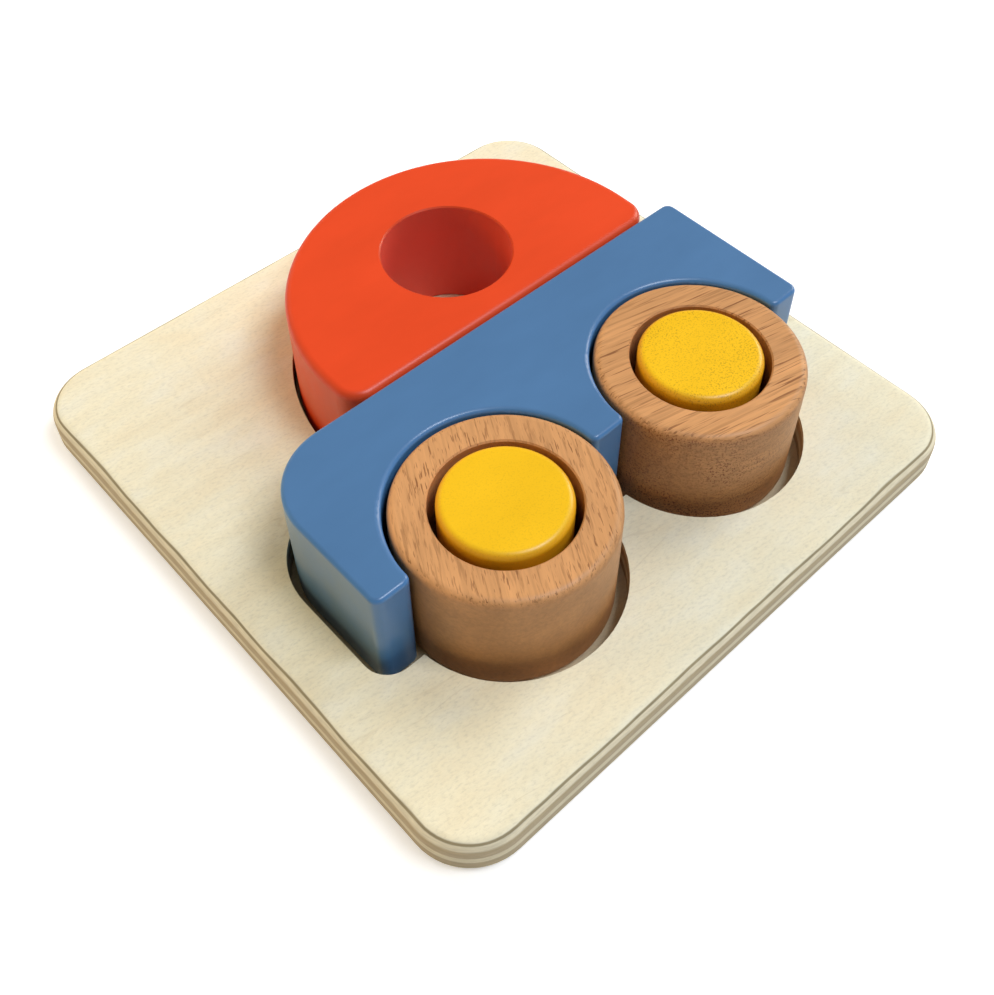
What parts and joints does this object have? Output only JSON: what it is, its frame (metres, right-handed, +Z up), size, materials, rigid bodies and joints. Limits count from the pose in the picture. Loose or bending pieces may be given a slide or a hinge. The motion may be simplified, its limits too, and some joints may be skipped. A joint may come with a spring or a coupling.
{
  "type": "peg puzzle",
  "caption": "Square wooden toddler's puzzle board with a car-shaped cut-out that holds thick blocks: round roof with a window, arched body, ring wheels and round pegs.",
  "frame": {"origin": "middle of the board's underside, the face that rests on the floor or table", "axes": "+X along the car towards its square end, +Y from the wheels to the roof, +Z up out of the board"},
  "size_m": [0.18, 0.18, 0.0396],
  "materials": {
    "board_base": "satin",
    "board_frame": "satin",
    "blue_paint": "painted, satin",
    "red_paint": "painted, satin",
    "ring_wood_left": "sanded, bare",
    "ring_wood_right": "sanded, bare",
    "yellow_paint_left": "painted, satin",
    "yellow_paint_right": "painted, satin"
  },
  "bodies": {
    "board": {"tray_base": "board_base", "tray_frame": "board_frame"},
    "body": {"body_block": "blue_paint"},
    "roof": {"roof_block": "red_paint"},
    "ring_left": {"wheel_left": "ring_wood_left"},
    "ring_right": {"wheel_right": "ring_wood_right"},
    "plug_left": {"peg_left": "yellow_paint_left"},
    "plug_right": {"peg_right": "yellow_paint_right"}
  },
  "joints": [
    {"name": "roof_lift", "type": "slide", "parent": "board", "child": "roof", "axis": [0, 0, 1], "range_m": [0, 0.05]},
    {"name": "body_lift", "type": "slide", "parent": "board", "child": "body", "axis": [0, 0, 1], "range_m": [0, 0.05]},
    {"name": "ring_left_lift", "type": "slide", "parent": "board", "child": "ring_left", "axis": [0, 0, 1], "range_m": [0, 0.05]},
    {"name": "ring_right_lift", "type": "slide", "parent": "board", "child": "ring_right", "axis": [0, 0, 1], "range_m": [0, 0.05]},
    {"name": "peg_left_lift", "type": "slide", "parent": "board", "child": "plug_left", "axis": [0, 0, 1], "range_m": [0, 0.05]},
    {"name": "peg_right_lift", "type": "slide", "parent": "board", "child": "plug_right", "axis": [0, 0, 1], "range_m": [0, 0.05]}
  ]
}
